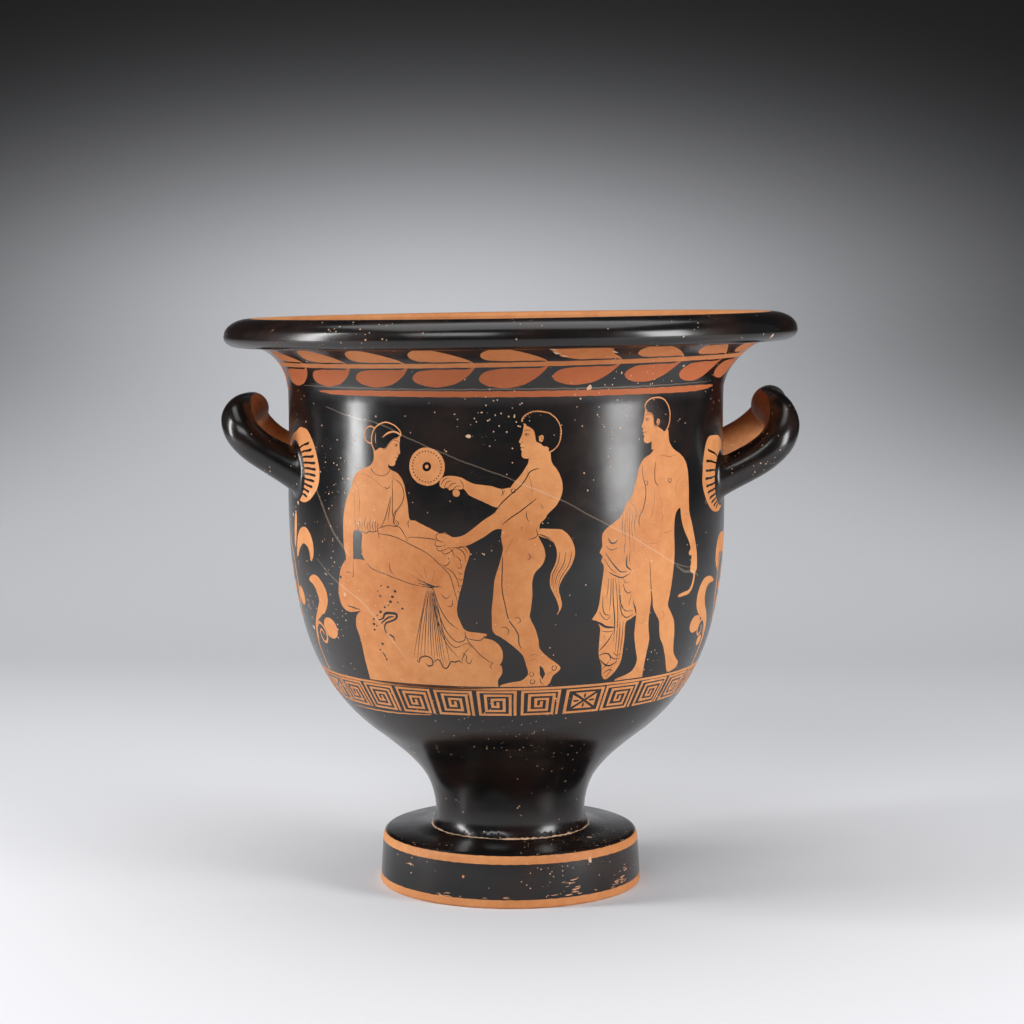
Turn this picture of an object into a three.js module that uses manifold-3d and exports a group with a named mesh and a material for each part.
// Bell krater: a wheel-thrown mixing bowl on a stem and disc foot, with two loop handles.
// Millimetres, +Z up. The origin is the centre of the foot's resting plane, +Y is the back of the vase,
// and the handles stand out along -X and +X. Bowl, stem, foot and handles are one fired piece of clay.
import * as THREE from "three";
import { mergeVertices } from "three/addons/utils/BufferGeometryUtils.js";
import Module from "manifold-3d";

// ---- Driving dimensions -------------------------------------------------------------------------

const TURN_STEPS = 56; // facets round the wheel-thrown wall

// Disc foot
const FOOT_RADIUS = 83.8; // widest, just above the resting edge
const FOOT_TOP_RADIUS = 82.2; // at the lower edge of the arris
const FOOT_HEIGHT = 34; // height of the arris between side and top
const FOOT_EDGE = 1.6; // rounding of the resting edge
const ARRIS = 6; // height of the rounded arris

// Stem
const STEM_ROOT_Z = 36.8; // the stem meets the top of the foot here
const STEM_ROOT_RADIUS = 49.8;

// Underside
const REST_RING_WIDTH = 15;
const HOLLOW_TOP_Z = 68; // crown of the hollow under the stem
const HOLLOW_STEM_RADIUS = 37;

// Bowl and lip
const FLOOR_Z = 84; // inside floor of the bowl on the axis
const NECK_Z = 318; // the wall turns out into the flare here
const LIP_RADIUS = 181.6; // widest point of the rolled lip
const LIP_BOTTOM_Z = 346.4;
const LIP_WIDEST_Z = 353;
const LIP_TOP_Z = 364.2;
const CREST_RADIUS = 165; // the lip's highest ring
const MOUTH_RADIUS = 157.5; // inner shoulder of the lip

// Handles
const ARM_RADIUS = 11;
const ROOT_SWELL = 3.6; // how much thicker an arm is where it joins the wall
const ARM_SPACING = 51; // half the distance between the two arms of one handle
const HANDLE_ROOT_X = 133.5; // where the arm's centre line leaves the wall
const EMBED_RADIUS = 134; // the arms end this deep in the wall
const HANDLES = [
  // skew is the rise of the handle from its front arm to its back arm, as a slope
  { side: -1, middleY: 6, reach: 166.9, rootZ: 269.5, topZ: 304.8, skew: -0.03 },
  { side: 1, middleY: 17, reach: 173.9, rootZ: 267, topZ: 305.2, skew: 0.072 },
];

// The vase isn't quite true: its wall leans a little to -X under a centred lip, which is out of level.
const LEAN = -3; // sideways drift of the axis at the neck
const LIP_TILT_X = 0.0148; // rise of the lip towards +X, as a slope
const LIP_TILT_Y = -0.011; // fall of the lip towards +Y, as a slope
const TILT_FROM_Z = 290; // the wall is level below this height

const CLAY = { color: 0x1b1816, roughness: 0.3, metalness: 0 }; // black gloss over orange clay

// ---- Profiles (radius, height) ------------------------------------------------------------------

const point = (radius, z) => new THREE.Vector2(radius, z);

// Points along a smooth curve through the given (radius, height) pairs, both ends included.
function spline(pairs, steps) {
  return new THREE.SplineCurve(pairs.map(([r, z]) => point(r, z))).getPoints(steps);
}

// Points along a quarter of an ellipse from angle a to angle b, in degrees.
function arc(centreR, centreZ, radiusR, radiusZ, a, b, steps) {
  const [from, to] = [a, b].map(THREE.MathUtils.degToRad);
  return new THREE.EllipseCurve(centreR, centreZ, radiusR, radiusZ, from, to, b < a).getPoints(steps);
}

// From the crown of the hollow under the stem, down to the resting ring.
function undersideProfile() {
  const ringInner = FOOT_RADIUS - FOOT_EDGE - REST_RING_WIDTH;
  return spline(
    [
      [0, HOLLOW_TOP_Z],
      [22, HOLLOW_TOP_Z - 3],
      [HOLLOW_STEM_RADIUS - 2, HOLLOW_TOP_Z - 16],
      [HOLLOW_STEM_RADIUS + 3, 30],
      [HOLLOW_STEM_RADIUS + 17, 13],
      [ringInner, 0],
    ],
    8,
  );
}

// The outside of the disc foot, from its resting edge to the root of the stem.
function footProfile() {
  const side = point(FOOT_TOP_RADIUS, FOOT_HEIGHT - ARRIS);
  return [
    ...arc(FOOT_RADIUS - FOOT_EDGE, FOOT_EDGE, FOOT_EDGE, FOOT_EDGE, -90, 0, 2),
    side,
    ...arc(FOOT_TOP_RADIUS - 4, FOOT_HEIGHT - ARRIS + 1, 3.8, ARRIS - 1, 10, 82, 3),
    point(STEM_ROOT_RADIUS + 0.8, STEM_ROOT_Z - 0.4),
  ];
}

// The outside of the stem and the bowl, up to the neck.
function wallProfile() {
  return spline(
    [
      [STEM_ROOT_RADIUS, STEM_ROOT_Z],
      [48.1, 43],
      [48.5, 53],
      [53.0, 67.5],
      [62.8, 80.5],
      [77.8, 94],
      [93.0, 106],
      [106.6, 120],
      [117.4, 136],
      [126.2, 155],
      [132.8, 178.5],
      [137.4, 208],
      [138.9, 243],
      [138.0, 290],
      [138.2, NECK_Z],
    ],
    24,
  );
}

// The flare from the neck to the underside of the lip.
function flareProfile() {
  return spline(
    [
      [138.2, NECK_Z],
      [140.2, 326.2],
      [144.6, 334],
      [151.5, 341.2],
      [161.5, LIP_BOTTOM_Z + 0.6],
    ],
    6,
  );
}

// The rolled lip: tight below, a broad quarter round above, then over the crest to the mouth.
function lipProfile() {
  const tuck = 8.5;
  return [
    ...arc(LIP_RADIUS - tuck, LIP_WIDEST_Z, tuck, LIP_WIDEST_Z - LIP_BOTTOM_Z, -90, 0, 4),
    ...arc(CREST_RADIUS, LIP_WIDEST_Z, LIP_RADIUS - CREST_RADIUS, LIP_TOP_Z - LIP_WIDEST_Z, 16, 90, 5),
    ...arc(CREST_RADIUS, LIP_TOP_Z - 4, CREST_RADIUS - MOUTH_RADIUS, 4, 120, 178, 2),
  ];
}

// The inside of the bowl, from the mouth down to the floor.
function insideProfile() {
  return spline(
    [
      [MOUTH_RADIUS - 2, LIP_TOP_Z - 7],
      [147.0, 347.5],
      [135.0, 331],
      [130.8, 313],
      [131.4, 245],
      [129.5, 208],
      [124.5, 178],
      [116.5, 152],
      [103.0, 128],
      [84.0, 108.5],
      [56.0, 92.5],
      [28.0, 86],
      [0, FLOOR_Z],
    ],
    15,
  );
}

// ---- Solids -------------------------------------------------------------------------------------

const wasm = await Module();
wasm.setup();

// A closed three.js geometry as a manifold-3d solid.
function solid(geometry) {
  const bare = geometry.index ? geometry.toNonIndexed() : geometry.clone();
  bare.deleteAttribute("normal");
  bare.deleteAttribute("uv");
  const merged = mergeVertices(bare, 1e-4);
  const vertProperties = new Float32Array(merged.attributes.position.array);
  const triVerts = new Uint32Array(merged.index.array);
  return new wasm.Manifold(new wasm.Mesh({ numProp: 3, vertProperties, triVerts }));
}

// A manifold-3d solid as a three.js geometry.
function geometryOf(made) {
  const { vertProperties, triVerts } = made.getMesh();
  const geometry = new THREE.BufferGeometry();
  geometry.setAttribute("position", new THREE.BufferAttribute(new Float32Array(vertProperties), 3));
  geometry.setIndex(new THREE.BufferAttribute(new Uint32Array(triVerts), 1));
  return geometry;
}

// A profile turned round the vertical axis.
function turned(profile) {
  return new THREE.LatheGeometry(profile, TURN_STEPS).rotateX(Math.PI / 2);
}

function thrownVase() {
  return turned([
    ...undersideProfile(),
    ...footProfile(),
    ...wallProfile(),
    ...flareProfile().slice(1),
    ...lipProfile(),
    ...insideProfile(),
  ]);
}

// The core of the bowl, which trims the handles off inside the wall.
function bowlCore() {
  const [low, high] = [FLOOR_Z, LIP_TOP_Z];
  return turned([point(0, low), point(EMBED_RADIUS, low), point(EMBED_RADIUS, high), point(0, high)]);
}

// A round bar along a curve, closed at both ends, whose radius follows radiusAt(0 to 1).
function swollenBar(curve, radiusAt, steps, sides) {
  const { normals, binormals } = curve.computeFrenetFrames(steps);
  const positions = [];
  const index = [];
  for (let i = 0; i <= steps; i++) {
    const centre = curve.getPointAt(i / steps);
    for (let j = 0; j < sides; j++) {
      const angle = (j / sides) * 2 * Math.PI;
      const corner = centre
        .clone()
        .addScaledVector(normals[i], radiusAt(i / steps) * Math.cos(angle))
        .addScaledVector(binormals[i], radiusAt(i / steps) * Math.sin(angle));
      positions.push(...corner.toArray());
    }
  }
  for (let i = 0; i < steps; i++) {
    for (let j = 0; j < sides; j++) {
      const [a, b] = [i * sides + j, i * sides + ((j + 1) % sides)];
      index.push(a, b, b + sides, a, b + sides, a + sides);
    }
  }
  const last = steps * sides;
  for (let j = 1; j < sides - 1; j++) {
    index.push(0, j + 1, j, last, last + j, last + j + 1);
  }
  const geometry = new THREE.BufferGeometry();
  geometry.setAttribute("position", new THREE.Float32BufferAttribute(positions, 3));
  geometry.setIndex(index);
  return geometry;
}

// One loop handle: two arms that climb out of the wall and curl up, joined by a cross bar.
function handle({ side, middleY, reach, rootZ, topZ, skew }) {
  // [share of the way out, share of the arm spacing, share of the rise] along one arm
  const arm = [
    [-0.5, 1, -0.26],
    [0, 1, 0],
    [0.37, 1, 0.19],
    [0.68, 0.99, 0.385],
    [0.9, 0.945, 0.6],
    [0.995, 0.8, 0.8],
    [0.97, 0.5, 0.95],
  ];
  const at = (out, spread, rise) =>
    new THREE.Vector3(
      side * (HANDLE_ROOT_X + out * (reach - HANDLE_ROOT_X)),
      middleY + spread * ARM_SPACING,
      rootZ + rise * (topZ - rootZ) + skew * spread * ARM_SPACING,
    );
  const near = arm.map(([out, spread, rise]) => at(out, -spread, rise));
  const far = arm.map(([out, spread, rise]) => at(out, spread, rise)).reverse();
  const curve = new THREE.CatmullRomCurve3([...near, at(0.88, 0, 1), ...far]);
  const swellLength = 0.17; // share of the bar's length over which a root swells
  const radiusAt = (t) => {
    const fromRoot = Math.min(t, 1 - t) / swellLength;
    return ARM_RADIUS + ROOT_SWELL * Math.max(0, 1 - fromRoot) ** 1.5;
  };
  return swollenBar(curve, radiusAt, 22, 12);
}

// Moves each vertex as the finished vase departs from true.
function settle(geometry) {
  const place = geometry.attributes.position;
  for (let i = 0; i < place.count; i++) {
    const [x, y, z] = [place.getX(i), place.getY(i), place.getZ(i)];
    const up = THREE.MathUtils.smoothstep(z, 0, NECK_Z);
    const over = THREE.MathUtils.smoothstep(z, NECK_Z, LIP_BOTTOM_Z);
    const outOfLevel = THREE.MathUtils.smoothstep(z, TILT_FROM_Z, LIP_BOTTOM_Z);
    place.setXYZ(i, x + LEAN * (up - over), y, z + outOfLevel * (LIP_TILT_X * x + LIP_TILT_Y * y));
  }
  return geometry;
}

// ---- The part -----------------------------------------------------------------------------------

function krater() {
  const core = solid(bowlCore());
  const vase = HANDLES.reduce(
    (made, spec) => made.add(solid(handle(spec)).subtract(core)),
    solid(thrownVase()),
  );
  const mesh = new THREE.Mesh(settle(geometryOf(vase)), new THREE.MeshStandardMaterial(CLAY));
  mesh.name = "krater";
  return mesh;
}

const part = new THREE.Group();
part.add(krater());
part.traverse((o) => o.isMesh && o.geometry.computeVertexNormals());

export default part;
